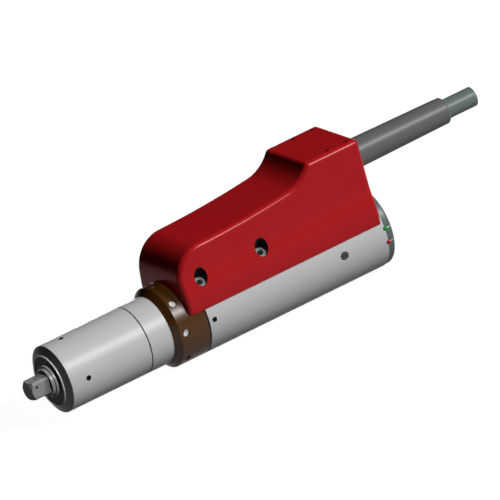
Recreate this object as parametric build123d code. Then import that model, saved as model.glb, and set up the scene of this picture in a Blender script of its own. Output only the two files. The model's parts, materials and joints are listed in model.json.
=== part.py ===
from build123d import *
from math import acos, asin, atan2, cos, degrees, hypot, pi, radians, sin, tan
import os

# Robot screwdriving spindle: an electric nutrunner spindle for a fixture or robot.
# X runs along the spindle axis from the square drive (-X) to the cable (+X), Z is up.
# X = 0 is the front edge of the mounting collar. All sizes are in millimetres.

# Fits
slip_gap = 0.02            # radial gap between fixed pieces that slide together
running_gap = 0.03         # radial gap between a turning shaft and its seat
side_gap = 0.5             # axial gap beside a turning piece
cut_margin = 1.0           # how far a cutting body reaches past the surface it opens
edge_margin = 0.001        # how closely an edge has to lie on a station to be picked

# Square drive and output spindle
square_width = 12.7
square_length = 14.5
square_corner_radius = 1.7
square_tip_chamfer = 1.1
cross_hole_diameter = 1.8
cross_hole_setback = 7.5
shoulder_standout = 6.8
journal_step = 0.1         # the journal is this much larger in radius than the shoulder

# Nose housing
collar_step = 4.75         # the barrel is this much smaller in radius than the motor tube
nose_wall = 6.25
nose_length = 66.1
nose_cone_length = 2.8
nose_tip_rim = 0.1
nose_hole_diameter = 3.5
nose_hole_setback = 14.0
nose_hole_count = 4
parting_groove_width = 0.6 # the narrow groove where the nose meets the gearcase
parting_groove_depth = 0.8

# Front retainer and shaft seal
retainer_step = 0.2        # the retainer's thread is this much larger in radius than the bearing
retainer_length = 9.0
retainer_lip_length = 0.9
retainer_lip_width = 0.7
retainer_recess = 0.6
retainer_wall = 7.1
seal_wall = 1.7
seal_length = 7.6
seal_standout = 1.5

# Output bearings and their spacer
output_bearing_width = 9.0
rear_bearing_setback = 18.2
spacer_wall = 2.0

# Planet gears: both stages share one ring gear, so they share tooth sizes
sun_teeth = 9
planet_teeth = 12
ring_teeth = 33
pressure_angle = 25.0
addendum_factor = 0.8
dedendum_factor = 1.1
flank_relief = 0.08
ring_gear_wall = 1.59
planet_count = 3
planet_width = 12.0
planet_pin_diameter = 6.0
output_flange_length = 5.5
input_flange_length = 4.5
flange_gap = 0.87          # between the planet flanges and the tips of the ring gear
output_flange_setback = 1.2

# Gearcase and mounting collar
land_length = 17.8
spigot_step = 1.75         # the nose spigot is this much smaller in radius than the barrel
spigot_length = 3.0
thread_depth = 0.75
gearcase_wall = 3.05
joint_flange_length = 8.0
collar_length = 28.0
collar_chamfer = 4.2
collar_hole_diameter = 4.5
collar_hole_setback = 9.0
collar_hole_count = 8
collar_hole_depth = 1.5
collar_groove_width = 0.6  # the narrow groove between the collar and the motor tube
collar_groove_depth = 1.2

# Torque transducer
transducer_length = 17.5
transducer_ring_length = 4.0
transducer_waist_depth = 1.65
transducer_wall = 3.35
transducer_flange_length = 3.0

# Motor
tube_diameter = 59.0
tube_length = 149.8
tube_wall = 3.0
tube_hole_diameter = 3.5
tube_hole_setback = 4.4
plug_diameter = 6.2
plug_setback = 113.9
plug_sink = 0.3
plug_overhang = 1.0        # how far the plug reaches into the tube
plug_slot_width = 1.2
plug_slot_depth = 1.0
shaft_diameter = 8.0
motor_bearing_diameter = 22.0
motor_bearing_width = 7.0
plate_lip_length = 1.5
plate_lip_bore_diameter = 16.0
stator_length = 58.0
stator_setback = 22.0
stator_bore_diameter = 30.4
stator_slot_count = 9
stator_yoke = 2.68         # left outside the wire slots
stator_slot_width = 6.0
stator_tooth_tip = 1.6
end_turn_length = 5.0
magnet_count = 6
magnet_thickness = 3.0
magnet_arc = 50.0
air_gap = 0.7
rear_plate_gap = 3.0
resolver_length = 8.0
resolver_diameter = 36.0
resolver_bore_diameter = 22.0
resolver_gap = 0.6
resolver_cup_wall = 1.5

# Rear cap with its two lamps
cap_length = 6.0
cap_rim_radius = 2.2
cap_spigot_length = 7.0
cap_spigot_wall = 3.0
cap_shrink = 0.4
lamp_diameter = 3.0
lamp_angle = 10.0
lamp_stem_length = 6.2
lamp_slot_width = 0.9
lamp_board_thickness = 1.6
lamp_board_bore_diameter = 16.0

# Cover: a saddle housing with a low front, a ramp and a raised rear plateau
cover_front = 14.3
cover_length = 161.0
cover_side_inset = 2.0     # the cover's sides lie this far inside the tube's sides
cover_bottom = 9.8
cover_wall = 3.4
cover_nose_radius = 23.4
cover_shoulder_rise = 24.8 # over the top of the motor tube, like the next heights
cover_rise_angle = 1.5
cover_rise_radius = 709.0
cover_ramp_setback = 98.7
cover_plateau_setback = 121.2
cover_plateau_rise = 44.1
cover_ramp_ratio = 0.15
cover_flare_rise = 10.5    # the sides are flat above this height over the tube's top, and flare below it
cover_flare_radius = 45.0
cover_flare_angle = 14.2
cover_edge_radius = 3.2
cover_rear_edge_radius = 3.0
plateau_hole_diameter = 3.3
plateau_hole_depth = 8.0
plateau_boss_diameter = 8.5
plateau_hole_spacing_x = 15.9
plateau_hole_spacing_y = 43.4
plateau_hole_rear_margin = 5.9

# Cover screws, M5 socket heads set along radii of the motor tube
screw_angle = 49.0
screw_front_setback = 17.2
screw_pitch = 50.9
screw_shank_diameter = 5.0
screw_head_diameter = 8.5
screw_head_length = 5.0
screw_socket_width = 4.0
screw_socket_depth = 2.5
screw_seat_height = 2.4
screw_bore_diameter = 10.3
screw_boss_diameter = 15.0
screw_boss_length = 16.0

# Cable, bend relief and gland nut
cable_rise = 23.5
cable_diameter = 14.2
cable_end_length = 110.5
cable_tail_length = 12.3
relief_diameter = 21.5
relief_end_diameter = 19.3
relief_length = 85.9
relief_end_radius = 2.4
gland_neck_diameter = 18.0
gland_neck_length = 9.5
gland_nut_width = 24.0
gland_nut_length = 4.0

# Electronics under the cover
board_length = 112.0
board_width = 40.0
board_thickness = 1.6
board_rise = 6.5
board_setback = 21.0
bracket_length = 8.0
bracket_width = 36.0
bracket_inset = 10.0
connector_length = 14.0
connector_width = 30.0
core_diameter = 3.0
core_spacing = 4.0

# Stations along the axis that follow from the lengths above
gearcase_front = -land_length
nose_front = gearcase_front - nose_length
nose_tip = nose_front - nose_cone_length
shoulder_front = nose_front - shoulder_standout
square_tip = shoulder_front - square_length
spigot_front = gearcase_front - spigot_length
retainer_rear = nose_tip + retainer_length
rear_bearing_front = gearcase_front - rear_bearing_setback
output_flange_rear = gearcase_front - output_flange_setback
output_flange_front = output_flange_rear - output_flange_length
output_planet_front = output_flange_rear + side_gap
output_planet_rear = output_planet_front + planet_width
input_flange_front = output_planet_rear + side_gap
input_flange_rear = input_flange_front + input_flange_length
input_planet_front = input_flange_rear + side_gap
input_planet_rear = input_planet_front + planet_width
ring_front = output_planet_front
ring_rear = input_planet_rear + side_gap
transducer_rear = ring_rear + transducer_length + transducer_flange_length
tube_front = collar_length
tube_rear = tube_front + tube_length
front_plate_front = tube_front + joint_flange_length
stator_front = tube_front + stator_setback
stator_rear = stator_front + stator_length
rear_plate_front = stator_rear + end_turn_length + rear_plate_gap
rear_plate_rear = rear_plate_front + motor_bearing_width + plate_lip_length
shaft_rear = rear_plate_rear + resolver_length + side_gap
cap_rear = tube_rear + cap_length
cover_rear = cover_front + cover_length

# Radii that follow from the sizes above
tube_radius = tube_diameter / 2
tube_bore_radius = tube_radius - tube_wall
barrel_radius = tube_radius - collar_step
thread_radius = barrel_radius - thread_depth
spigot_radius = barrel_radius - spigot_step
ring_radius = thread_radius - gearcase_wall
bearing_radius = barrel_radius - nose_wall
retainer_radius = bearing_radius + retainer_step
seal_radius = retainer_radius - retainer_wall
shoulder_radius = seal_radius - seal_wall
journal_radius = shoulder_radius + journal_step
shaft_radius = shaft_diameter / 2
rotor_radius = stator_bore_diameter / 2 - air_gap
slot_bottom_radius = stator_bore_diameter / 2 + stator_tooth_tip
slot_top_radius = tube_bore_radius - slip_gap - stator_yoke

# The tooth size follows from the ring gear's wall
gear_module = (ring_radius - ring_gear_wall) / (ring_teeth / 2 + dedendum_factor)
planet_orbit = gear_module * (sun_teeth + planet_teeth) / 2
flange_radius = gear_module * (ring_teeth / 2 - addendum_factor) - flange_gap

# Heights and widths of the cover that follow from the motor tube
cover_half_width = tube_radius - cover_side_inset
cover_shoulder_height = tube_radius + cover_shoulder_rise
cover_plateau_height = tube_radius + cover_plateau_rise
cable_height = tube_radius + cable_rise
board_height = tube_radius + board_rise


def turned(*outline):
    """A solid turned about X from an outline of (x, radius) points."""
    return revolve(make_face(Polyline(*outline, close=True)), axis=Axis.X)


def rod(start, end, radius):
    """A round bar along X."""
    return extrude(Plane.YZ.offset(start) * Circle(radius), end - start)


def ring(start, end, outer, inner):
    """A plain sleeve along X."""
    return extrude(Plane.YZ.offset(start) * (Circle(outer) - Circle(inner)), end - start)


def radial_plane(x, angle, distance=0.0):
    """A plane that faces away from the spindle axis; angle runs from +Y towards +Z."""
    outward = Vector(0, cos(radians(angle)), sin(radians(angle)))
    return Plane(Vector(x, 0, 0) + outward * distance, x_dir=(1, 0, 0), z_dir=outward)


def radial_rod(x, angle, start, end, radius):
    """A round bar along a radius of the spindle, between two distances from its axis."""
    return extrude(radial_plane(x, angle, start) * Circle(radius), end - start)


def save(name, shape):
    """Write one sub-part to its own STEP file."""
    export_step(shape, os.path.join("parts", name + ".step"))


def involute(angle):
    return tan(angle) - angle


def flank_half_angle(radius, teeth, thinning):
    """Half the angle that an involute tooth of this many teeth spans at a radius."""
    pitch_radius = gear_module * teeth / 2
    base_radius = pitch_radius * cos(radians(pressure_angle))
    here = acos(min(1.0, base_radius / radius))
    return pi / (2 * teeth) + involute(radians(pressure_angle)) - involute(here) - thinning / pitch_radius


def tooth_outline(teeth, radii, thinning):
    """A closed face with one tooth per pitch; radii run from the root to the tip."""
    points = []
    for tooth in range(teeth):
        centre = 2 * pi * tooth / teeth
        flank = [(r, flank_half_angle(r, teeth, thinning)) for r in radii]
        rising = [(r, centre - half) for r, half in flank]
        falling = [(r, centre + half) for r, half in reversed(flank)]
        points += [(r * cos(a), r * sin(a)) for r, a in rising + falling]
    return make_face(Polyline(*points, close=True))


def gear(teeth, start, end, bore_radius=0.0):
    """A spur gear with one tooth centred on +Y, bored if bore_radius is given."""
    pitch_radius = gear_module * teeth / 2
    root = pitch_radius - dedendum_factor * gear_module
    tip = pitch_radius + addendum_factor * gear_module
    face = tooth_outline(teeth, [root, pitch_radius, tip], flank_relief)
    if bore_radius:
        face -= Circle(bore_radius)
    return extrude(Plane.YZ.offset(start) * face, end - start)


def planet(index, start, end):
    """One planet, turned half a tooth so that its gaps face the sun and the ring gear."""
    half_tooth = 180 / planet_teeth
    wheel = gear(planet_teeth, start, end, planet_pin_diameter / 2 + running_gap)
    seated = Pos(0, planet_orbit, 0) * Rot(half_tooth, 0, 0) * wheel
    return Rot(360 / planet_count * index, 0, 0) * seated


def planet_pins(start, end, radius):
    """The round pins or holes on which one stage's planets sit."""
    pin = Pos(0, planet_orbit, 0) * rod(start, end, radius)
    return [Rot(360 / planet_count * index, 0, 0) * pin for index in range(planet_count)]


def ring_gear():
    """The internal gear that both stages run in, with one tooth centred on +Y."""
    pitch_radius = gear_module * ring_teeth / 2
    tip = pitch_radius - addendum_factor * gear_module
    root = pitch_radius + dedendum_factor * gear_module
    gaps = tooth_outline(ring_teeth, [tip, root], -flank_relief)
    gaps = Rot(0, 0, 180 / ring_teeth) * gaps
    return extrude(Plane.YZ.offset(ring_front) * (Circle(ring_radius) - gaps), ring_rear - ring_front)


def output_spindle():
    """Square drive, seal land, journal and output planet flange in one piece."""
    journal_front = retainer_rear - side_gap
    body = turned(
        (shoulder_front, 0), (shoulder_front, shoulder_radius), (journal_front, shoulder_radius),
        (journal_front, journal_radius), (output_flange_front, journal_radius),
        (output_flange_front, flange_radius), (output_flange_rear, flange_radius), (output_flange_rear, 0),
    )
    section = RectangleRounded(square_width, square_width, square_corner_radius)
    square = extrude(Plane.YZ.offset(square_tip) * section, square_length)
    body += chamfer(square.faces().sort_by(Axis.X)[0].edges(), square_tip_chamfer)
    cross_x = shoulder_front - cross_hole_setback
    reach = square_width
    for angle in (0, 90):
        body -= radial_rod(cross_x, angle, -reach, reach, cross_hole_diameter / 2)
    for hole in planet_pins(output_flange_front, output_flange_rear, planet_pin_diameter / 2 + slip_gap):
        body -= hole
    return body


def nose_housing():
    """The front barrel: cone, retainer thread, bearing bore, spindle bore and counterbore."""
    bore = bearing_radius + slip_gap
    front_bore = retainer_radius + slip_gap
    shoulder = flange_radius + side_gap
    bearing_seat = rear_bearing_front + output_bearing_width
    counterbore = spigot_radius + slip_gap
    groove_front = gearcase_front - parting_groove_width
    groove_radius = barrel_radius - parting_groove_depth
    body = turned(
        (nose_tip, front_bore), (nose_tip, retainer_radius + nose_tip_rim), (nose_front, barrel_radius),
        (groove_front, barrel_radius), (groove_front, groove_radius), (gearcase_front, groove_radius),
        (gearcase_front, counterbore), (spigot_front, counterbore),
        (spigot_front, shoulder), (bearing_seat, shoulder), (bearing_seat, bore),
        (retainer_rear, bore), (retainer_rear, front_bore),
    )
    hole_x = nose_front + nose_hole_setback
    for index in range(nose_hole_count):
        angle = 360 / nose_hole_count * index
        inside = bore - cut_margin
        outside = barrel_radius + cut_margin
        body -= radial_rod(hole_x, angle, inside, outside, nose_hole_diameter / 2)
    return body


def front_retainer():
    """The threaded ring that holds the front bearing, with its thin lip."""
    inner = seal_radius + slip_gap
    lip_front = nose_tip - retainer_lip_length
    face = lip_front + retainer_recess
    return turned(
        (lip_front, retainer_radius), (retainer_rear, retainer_radius), (retainer_rear, inner),
        (face, inner), (face, retainer_radius - retainer_lip_width),
        (lip_front, retainer_radius - retainer_lip_width),
    )


def shaft_seal():
    """The ring that seals the spindle; it stands a little out of the retainer's face."""
    seal_front = nose_tip - retainer_lip_length + retainer_recess - seal_standout
    return ring(seal_front, seal_front + seal_length, seal_radius, shoulder_radius + running_gap)


def output_bearing(start):
    return ring(start, start + output_bearing_width, bearing_radius, journal_radius + running_gap)


def bearing_spacer():
    front = retainer_rear + output_bearing_width
    return ring(front, rear_bearing_front, bearing_radius, bearing_radius - spacer_wall)


def gearcase():
    """The case of the planet stages: nose spigot, clamping land, collar thread, tube spigot."""
    bore = ring_radius + slip_gap
    tube_fit = tube_bore_radius - slip_gap
    flange_seat = transducer_rear - transducer_flange_length
    return turned(
        (spigot_front, bore), (spigot_front, spigot_radius), (gearcase_front, spigot_radius),
        (gearcase_front, barrel_radius), (0, barrel_radius), (0, thread_radius), (tube_front, thread_radius),
        (tube_front, tube_fit), (front_plate_front, tube_fit), (front_plate_front, thread_radius),
        (flange_seat, thread_radius), (flange_seat, bore),
    )


def mounting_collar():
    """The collar that is screwed on the gearcase, with shallow holes for a hook spanner."""
    bore = thread_radius + slip_gap
    groove_front = collar_length - collar_groove_width
    groove_radius = tube_radius - collar_groove_depth
    body = turned(
        (0, bore), (0, tube_radius - collar_chamfer), (collar_chamfer, tube_radius),
        (groove_front, tube_radius), (groove_front, groove_radius), (collar_length, groove_radius),
        (collar_length, bore),
    )
    for index in range(collar_hole_count):
        angle = 360 / collar_hole_count * index
        bottom = tube_radius - collar_hole_depth
        outside = tube_radius + cut_margin
        body -= radial_rod(collar_hole_setback, angle, bottom, outside, collar_hole_diameter / 2)
    return body


def torque_transducer():
    """A thin-waisted sleeve between the ring gear and the clamped flange at the motor."""
    bore = ring_radius - transducer_wall
    waist = ring_radius - transducer_waist_depth
    flange = thread_radius - slip_gap
    flange_front = transducer_rear - transducer_flange_length
    waist_front = ring_rear + transducer_ring_length
    waist_rear = flange_front - transducer_ring_length
    return turned(
        (ring_rear, bore), (ring_rear, ring_radius), (waist_front, ring_radius), (waist_front, waist),
        (waist_rear, waist), (waist_rear, ring_radius), (flange_front, ring_radius),
        (flange_front, flange), (transducer_rear, flange), (transducer_rear, bore),
    )


def input_carrier():
    """The first stage's planet flange with the second stage's sun gear."""
    sun = gear(sun_teeth, output_planet_front, input_flange_front)
    body = rod(input_flange_front, input_flange_rear, flange_radius) + sun
    for hole in planet_pins(input_flange_front, input_flange_rear, planet_pin_diameter / 2 + slip_gap):
        body -= hole
    return body


def rotor_shaft():
    """The motor shaft with the first stage's sun gear cut on its front end."""
    sun = gear(sun_teeth, input_planet_front, input_planet_rear)
    return rod(input_planet_rear, shaft_rear, shaft_radius) + sun


def motor_plate(front, outward):
    """A bearing plate; outward is the side of its lip, -1 towards the nose and 1 towards the cap."""
    seat = motor_bearing_diameter / 2 + slip_gap
    lip = plate_lip_bore_diameter / 2
    outer = tube_bore_radius - slip_gap
    seat_front = front + plate_lip_length if outward < 0 else front
    plate = ring(front, front + motor_bearing_width + plate_lip_length, outer, lip)
    return plate - rod(seat_front, seat_front + motor_bearing_width, seat)


def motor_front_plate():
    """The front bearing plate, with a boss that clamps the torque transducer."""
    boss = ring(transducer_rear, front_plate_front, thread_radius - slip_gap, plate_lip_bore_diameter / 2)
    return motor_plate(front_plate_front, -1) + boss


def motor_rear_plate():
    """The rear bearing plate, with a cup that holds the resolver stator."""
    cup_bore = resolver_diameter / 2 + slip_gap
    cup = ring(rear_plate_rear, rear_plate_rear + resolver_length, cup_bore + resolver_cup_wall, cup_bore)
    return motor_plate(rear_plate_front, 1) + cup


def motor_bearing(start):
    return ring(start, start + motor_bearing_width, motor_bearing_diameter / 2, shaft_radius + running_gap)


def stator_slots(shrink=0.0):
    """The wire slots of the stator, as one face; shrink leaves room for the wire to slide in."""
    middle = (slot_bottom_radius + slot_top_radius) / 2
    depth = slot_top_radius - slot_bottom_radius
    slot = Pos(middle, 0) * Rectangle(depth - 2 * shrink, stator_slot_width - 2 * shrink)
    slots = [Rot(0, 0, 360 / stator_slot_count * index) * slot for index in range(stator_slot_count)]
    return Sketch() + slots


def stator_core():
    """The laminated core, open at its wire slots."""
    outline = Circle(tube_bore_radius - slip_gap) - Circle(stator_bore_diameter / 2)
    return extrude(Plane.YZ.offset(stator_front) * (outline - stator_slots()), stator_length)


def stator_windings():
    """Wire bars in the slots, joined by an end turn at each side of the core."""
    front = ring(stator_front - end_turn_length, stator_front, slot_top_radius, slot_bottom_radius)
    rear = ring(stator_rear, stator_rear + end_turn_length, slot_top_radius, slot_bottom_radius)
    bars = extrude(Plane.YZ.offset(stator_front) * stator_slots(slip_gap), stator_length)
    return front + rear + bars


def rotor_core():
    return ring(stator_front, stator_rear, rotor_radius - magnet_thickness, shaft_radius + slip_gap)


def rotor_magnets():
    """Curved magnets bonded around the rotor core."""
    inner = rotor_radius - magnet_thickness + slip_gap
    wedge_reach = tube_radius
    half = radians(magnet_arc / 2)
    wedge = make_face(Polyline(
        (0, 0), (wedge_reach * cos(half), -wedge_reach * sin(half)),
        (wedge_reach * cos(half), wedge_reach * sin(half)), close=True,
    ))
    sector = (Circle(rotor_radius) - Circle(inner)) & wedge
    magnet = extrude(Plane.YZ.offset(stator_front) * sector, stator_length)
    return Compound([Rot(360 / magnet_count * index, 0, 0) * magnet for index in range(magnet_count)])


def resolver_stator():
    bore = resolver_bore_diameter / 2
    return ring(rear_plate_rear, rear_plate_rear + resolver_length, resolver_diameter / 2, bore)


def resolver_rotor():
    outer = resolver_bore_diameter / 2 - resolver_gap
    return ring(rear_plate_rear, rear_plate_rear + resolver_length, outer, shaft_radius + slip_gap)


def screw_stations():
    """Where the four cover screws stand: (x, angle)."""
    first = cover_front + screw_front_setback
    return [(x, angle) for x in (first, first + screw_pitch) for angle in (screw_angle, 180 - screw_angle)]


def lamp_stations():
    """The angles of the green lamp and the red lamp, either side of -Y."""
    return [180 - lamp_angle, 180 + lamp_angle]


def motor_tube():
    body = ring(tube_front, tube_rear, tube_radius, tube_bore_radius)
    inside = tube_bore_radius - cut_margin
    outside = tube_radius + cut_margin
    body -= radial_rod(tube_front + tube_hole_setback, 180, inside, outside, tube_hole_diameter / 2)
    body -= radial_rod(tube_front + plug_setback, 180, inside, outside, plug_diameter / 2 + slip_gap)
    for x, angle in screw_stations():
        body -= radial_rod(x, angle, inside, outside, screw_shank_diameter / 2 + slip_gap)
    for angle in lamp_stations():
        body -= radial_rod(tube_rear, angle, inside, outside, lamp_diameter / 2 + slip_gap)
    return body


def tube_plug():
    """A threaded plug with a screwdriver slot in its outer end."""
    x = tube_front + plug_setback
    end = tube_radius - plug_sink
    body = radial_rod(x, 180, tube_bore_radius - plug_overhang, end, plug_diameter / 2)
    slot = radial_plane(x, 180, end - plug_slot_depth) * Rectangle(plug_slot_width, plug_diameter)
    return body - extrude(slot, plug_slot_depth)


def rear_cap():
    """The end cap with its spigot; a slot runs back from each lamp through the rim."""
    outer = tube_radius - cap_shrink
    body = rod(tube_rear, cap_rear, outer)
    body = fillet(body.edges().sort_by(Axis.X)[-1], cap_rim_radius)
    spigot = tube_bore_radius - slip_gap
    body += ring(tube_rear - cap_spigot_length, tube_rear, spigot, spigot - cap_spigot_wall)
    inside = spigot - cap_spigot_wall - cut_margin
    for angle in lamp_stations():
        body -= radial_rod(tube_rear, angle, inside, outer + cut_margin, lamp_diameter / 2 + slip_gap)
        slot_plane = radial_plane(tube_rear + cap_length / 2, angle, spigot)
        body -= extrude(slot_plane * Rectangle(cap_length, lamp_slot_width), tube_radius - spigot)
    return body


def lamp(angle):
    """A round-nosed lamp that stands out through the seam between the tube and the cap."""
    end = tube_radius - cap_shrink
    stem = radial_rod(tube_rear, angle, end - lamp_stem_length, end, lamp_diameter / 2)
    dome = radial_plane(tube_rear, angle, end) * Sphere(lamp_diameter / 2)
    return stem + dome


def lamp_board():
    outer = tube_radius - cap_shrink - lamp_stem_length - slip_gap
    start = tube_rear - lamp_board_thickness
    return ring(start, tube_rear, outer, lamp_board_bore_diameter / 2)


def ramp_arcs(start, start_angle, end):
    """Two tangent arcs from a sloping start up to a level end: radius and turn of each."""
    run = end[0] - start[0]
    rise = end[1] - start[1]
    slope = radians(start_angle)
    reach = ((cos(slope) + cover_ramp_ratio) * run + sin(slope) * rise) / hypot(run, rise)
    middle = atan2(rise, run) + acos(reach / (1 + cover_ramp_ratio))
    radius = run / ((1 + cover_ramp_ratio) * sin(middle) - sin(slope))
    return radius, degrees(middle) - start_angle, radius * cover_ramp_ratio, degrees(middle)


def cover_profile():
    """The side outline of the cover in X and Z, closed along its bottom edge."""
    nose_start = cover_shoulder_height - cover_nose_radius
    ramp_start = cover_front + cover_ramp_setback
    plateau_start = cover_front + cover_plateau_setback
    front = Line((cover_front, cover_bottom), (cover_front, nose_start))
    nose = JernArc(front @ 1, front % 1, cover_nose_radius, cover_rise_angle - 90)
    climb = asin(sin(radians(cover_rise_angle)) + (ramp_start - (nose @ 1).X) / cover_rise_radius)
    rise = JernArc(nose @ 1, nose % 1, cover_rise_radius, degrees(climb) - cover_rise_angle)
    corner = rise @ 1
    arcs = ramp_arcs((corner.X, corner.Y), degrees(climb), (plateau_start, cover_plateau_height))
    ramp = JernArc(rise @ 1, rise % 1, arcs[0], arcs[1])
    crest = JernArc(ramp @ 1, ramp % 1, arcs[2], -arcs[3])
    plateau = Line(crest @ 1, (cover_rear, cover_plateau_height))
    rear = Line(plateau @ 1, (cover_rear, cover_bottom))
    bottom = Line(rear @ 1, front @ 0)
    return make_face([front, nose, rise, ramp, crest, plateau, rear, bottom])


def cover_section():
    """The cross-section of the cover in Y and Z: each side flares out over the tube and comes back in."""
    flare_top = tube_radius + cover_flare_rise
    widest = flare_top - 2 * cover_flare_radius * sin(radians(cover_flare_angle))
    drop = widest - cover_bottom + cut_margin
    closing = cover_flare_angle + degrees(asin(drop / cover_flare_radius))
    walls = []
    for side in (1, -1):
        y = side * cover_half_width
        flat = Line((y, cover_plateau_height + cut_margin), (y, flare_top))
        flare = JernArc(flat @ 1, flat % 1, cover_flare_radius, side * cover_flare_angle)
        back = JernArc(flare @ 1, flare % 1, cover_flare_radius, -side * closing)
        walls.append([flat, flare, back])
    left, right = walls
    top = Line(right[0] @ 0, left[0] @ 0)
    bottom = Line(left[2] @ 1, right[2] @ 1)
    return make_face([top, *left, bottom, *right])


def cover_form(profile, section):
    """A solid with this side outline in X and Z and this cross-section in Y and Z."""
    along = extrude(Plane.YZ.offset(cover_front - cut_margin) * section, cover_length + 2 * cut_margin)
    return extrude(Plane.XZ * profile, tube_diameter, both=True) & along


def cover_block():
    """The solid outside of the cover with its rounded edges."""
    block = cover_form(cover_profile(), cover_section())
    side_y = cover_half_width - edge_margin
    rear_x = cover_rear - edge_margin
    bottom_z = cover_bottom + edge_margin
    flare_z = tube_radius + cover_flare_rise + edge_margin
    edges = [edge for edge in block.edges() if abs(edge.center().Y) > side_y]
    edges = [edge for edge in edges if edge.center().X < rear_x and edge.center().Z > bottom_z]
    seams = ShapeList(edges).filter_by(Axis.X).filter_by(lambda edge: edge.center().Z < flare_z)
    block = fillet([edge for edge in edges if edge not in seams], cover_edge_radius)
    rear_face = block.faces().sort_by(Axis.X)[-1]
    rear_edges = [edge for edge in rear_face.edges() if edge.center().Z > bottom_z]
    return fillet(rear_edges, cover_rear_edge_radius)


def cover_cavity():
    """The hollow inside of the cover, one wall in from its outside."""
    profile = offset(cover_profile(), amount=-cover_wall)
    section = offset(cover_section(), amount=-cover_wall)
    return cover_form(profile, section)


def plateau_holes(radius, depth):
    """Upright rods at the four tapped holes of the plateau."""
    centre_x = cover_rear - plateau_hole_rear_margin - plateau_hole_spacing_x / 2
    top = Plane.XY.offset(cover_plateau_height - depth)
    places = GridLocations(plateau_hole_spacing_x, plateau_hole_spacing_y, 2, 2)
    return [extrude(top * Pos(centre_x, 0) * place * Circle(radius), depth) for place in places]


def cover():
    """The moulded saddle housing with its screw bosses and counterbores."""
    block = cover_block()
    bosses = []
    for x, angle in screw_stations():
        boss = radial_rod(x, angle, tube_radius, tube_radius + screw_boss_length, screw_boss_diameter / 2)
        bosses.append(boss)
    bosses += plateau_holes(plateau_boss_diameter / 2, plateau_hole_depth + cover_wall)
    shell = block - cover_cavity()
    for boss in bosses:
        shell += boss & block
    shell -= rod(cover_front - cut_margin, cover_rear + cut_margin, tube_radius + slip_gap)
    seat = tube_radius + screw_seat_height
    for x, angle in screw_stations():
        shell -= radial_rod(x, angle, tube_radius - cut_margin, seat, screw_shank_diameter / 2 + slip_gap)
        shell -= radial_rod(x, angle, seat, seat + cover_shoulder_height, screw_bore_diameter / 2)
    for hole in plateau_holes(plateau_hole_diameter / 2, plateau_hole_depth):
        shell -= hole
    neck_front = cover_rear - cover_wall - cut_margin
    neck_hole = rod(neck_front, cover_rear + cut_margin, gland_neck_diameter / 2 + slip_gap)
    return shell - Pos(0, 0, cable_height) * neck_hole


def cover_screw(x, angle):
    """One socket-head screw, from its tip in the tube wall to its head in the counterbore."""
    seat = tube_radius + screw_seat_height
    head_end = seat + screw_head_length
    screw = radial_rod(x, angle, tube_bore_radius, seat, screw_shank_diameter / 2)
    screw += radial_rod(x, angle, seat, head_end, screw_head_diameter / 2)
    socket = RegularPolygon(screw_socket_width / 2, 6, major_radius=False)
    return screw - extrude(radial_plane(x, angle, head_end - screw_socket_depth) * socket, screw_socket_depth)


def cover_screws():
    """All four cover screws."""
    return Compound([cover_screw(x, angle) for x, angle in screw_stations()])


def bend_relief():
    """The tapered sleeve behind the cover, with the threaded neck that passes its wall."""
    bore = cable_diameter / 2 + slip_gap
    neck = gland_neck_diameter / 2
    neck_front = cover_rear - gland_neck_length
    end = cover_rear + relief_length
    body = turned(
        (neck_front, bore), (neck_front, neck), (cover_rear, neck), (cover_rear, relief_diameter / 2),
        (end, relief_end_diameter / 2), (end, bore),
    )
    rim = body.edges().filter_by(GeomType.CIRCLE).sort_by(Axis.X)[-2:].sort_by(SortBy.RADIUS)[-1]
    return Pos(0, 0, cable_height) * fillet(rim, relief_end_radius)


def gland_nut():
    """The hexagon nut that clamps the sleeve's neck inside the cover's rear wall."""
    front = cover_rear - cover_wall - gland_nut_length
    outline = RegularPolygon(gland_nut_width / 2, 6, major_radius=False)
    section = outline - Circle(gland_neck_diameter / 2 + slip_gap)
    return Pos(0, 0, cable_height) * extrude(Plane.YZ.offset(front) * section, gland_nut_length)


def cable():
    """The cable, from its stripped end inside the cover to the bare cut end outside."""
    start = cover_rear - cable_tail_length
    length = cable_tail_length + cable_end_length
    print("cable: one straight run,", round(length, 1), "mm long in all,", cable_end_length, "mm outside")
    return Pos(0, 0, cable_height) * rod(start, start + length, cable_diameter / 2)


def board_station():
    start = cover_front + board_setback
    return start, start + board_length


def circuit_board():
    start = board_station()[0]
    plate = Box(board_length, board_width, board_thickness, align=(Align.MIN, Align.CENTER, Align.MIN))
    return Pos(start, 0, board_height) * plate


def board_brackets():
    """Two saddles that stand on the tube and carry the board."""
    start, end = board_station()
    saddles = []
    for x in (start + bracket_inset, end - bracket_inset - bracket_length):
        block = Pos(x, 0, 0) * Box(
            bracket_length, bracket_width, board_height, align=(Align.MIN, Align.CENTER, Align.MIN)
        )
        saddle = rod(x - cut_margin, x + bracket_length + cut_margin, tube_radius + slip_gap)
        saddles.append(block - saddle)
    return Compound([solid for saddle in saddles for solid in saddle.solids()])


def connector_height():
    """The connector's top stands one wire radius over the highest core."""
    return cable_height + core_spacing + core_diameter - board_height - board_thickness


def connector_block():
    end = board_station()[1]
    body = Box(
        connector_length, connector_width, connector_height(), align=(Align.MAX, Align.CENTER, Align.MIN)
    )
    return Pos(end, 0, board_height + board_thickness) * body


def cable_cores():
    """Wires from the cable's inner end to the connector block."""
    start = board_station()[1]
    end = cover_rear - cable_tail_length
    places = [(0, core_spacing), (-core_spacing, 0), (0, -core_spacing), (core_spacing, 0)]
    core = rod(start, end, core_diameter / 2)
    return Compound([Pos(0, y, cable_height + z) * core for y, z in places])


os.makedirs("parts", exist_ok=True)

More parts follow.
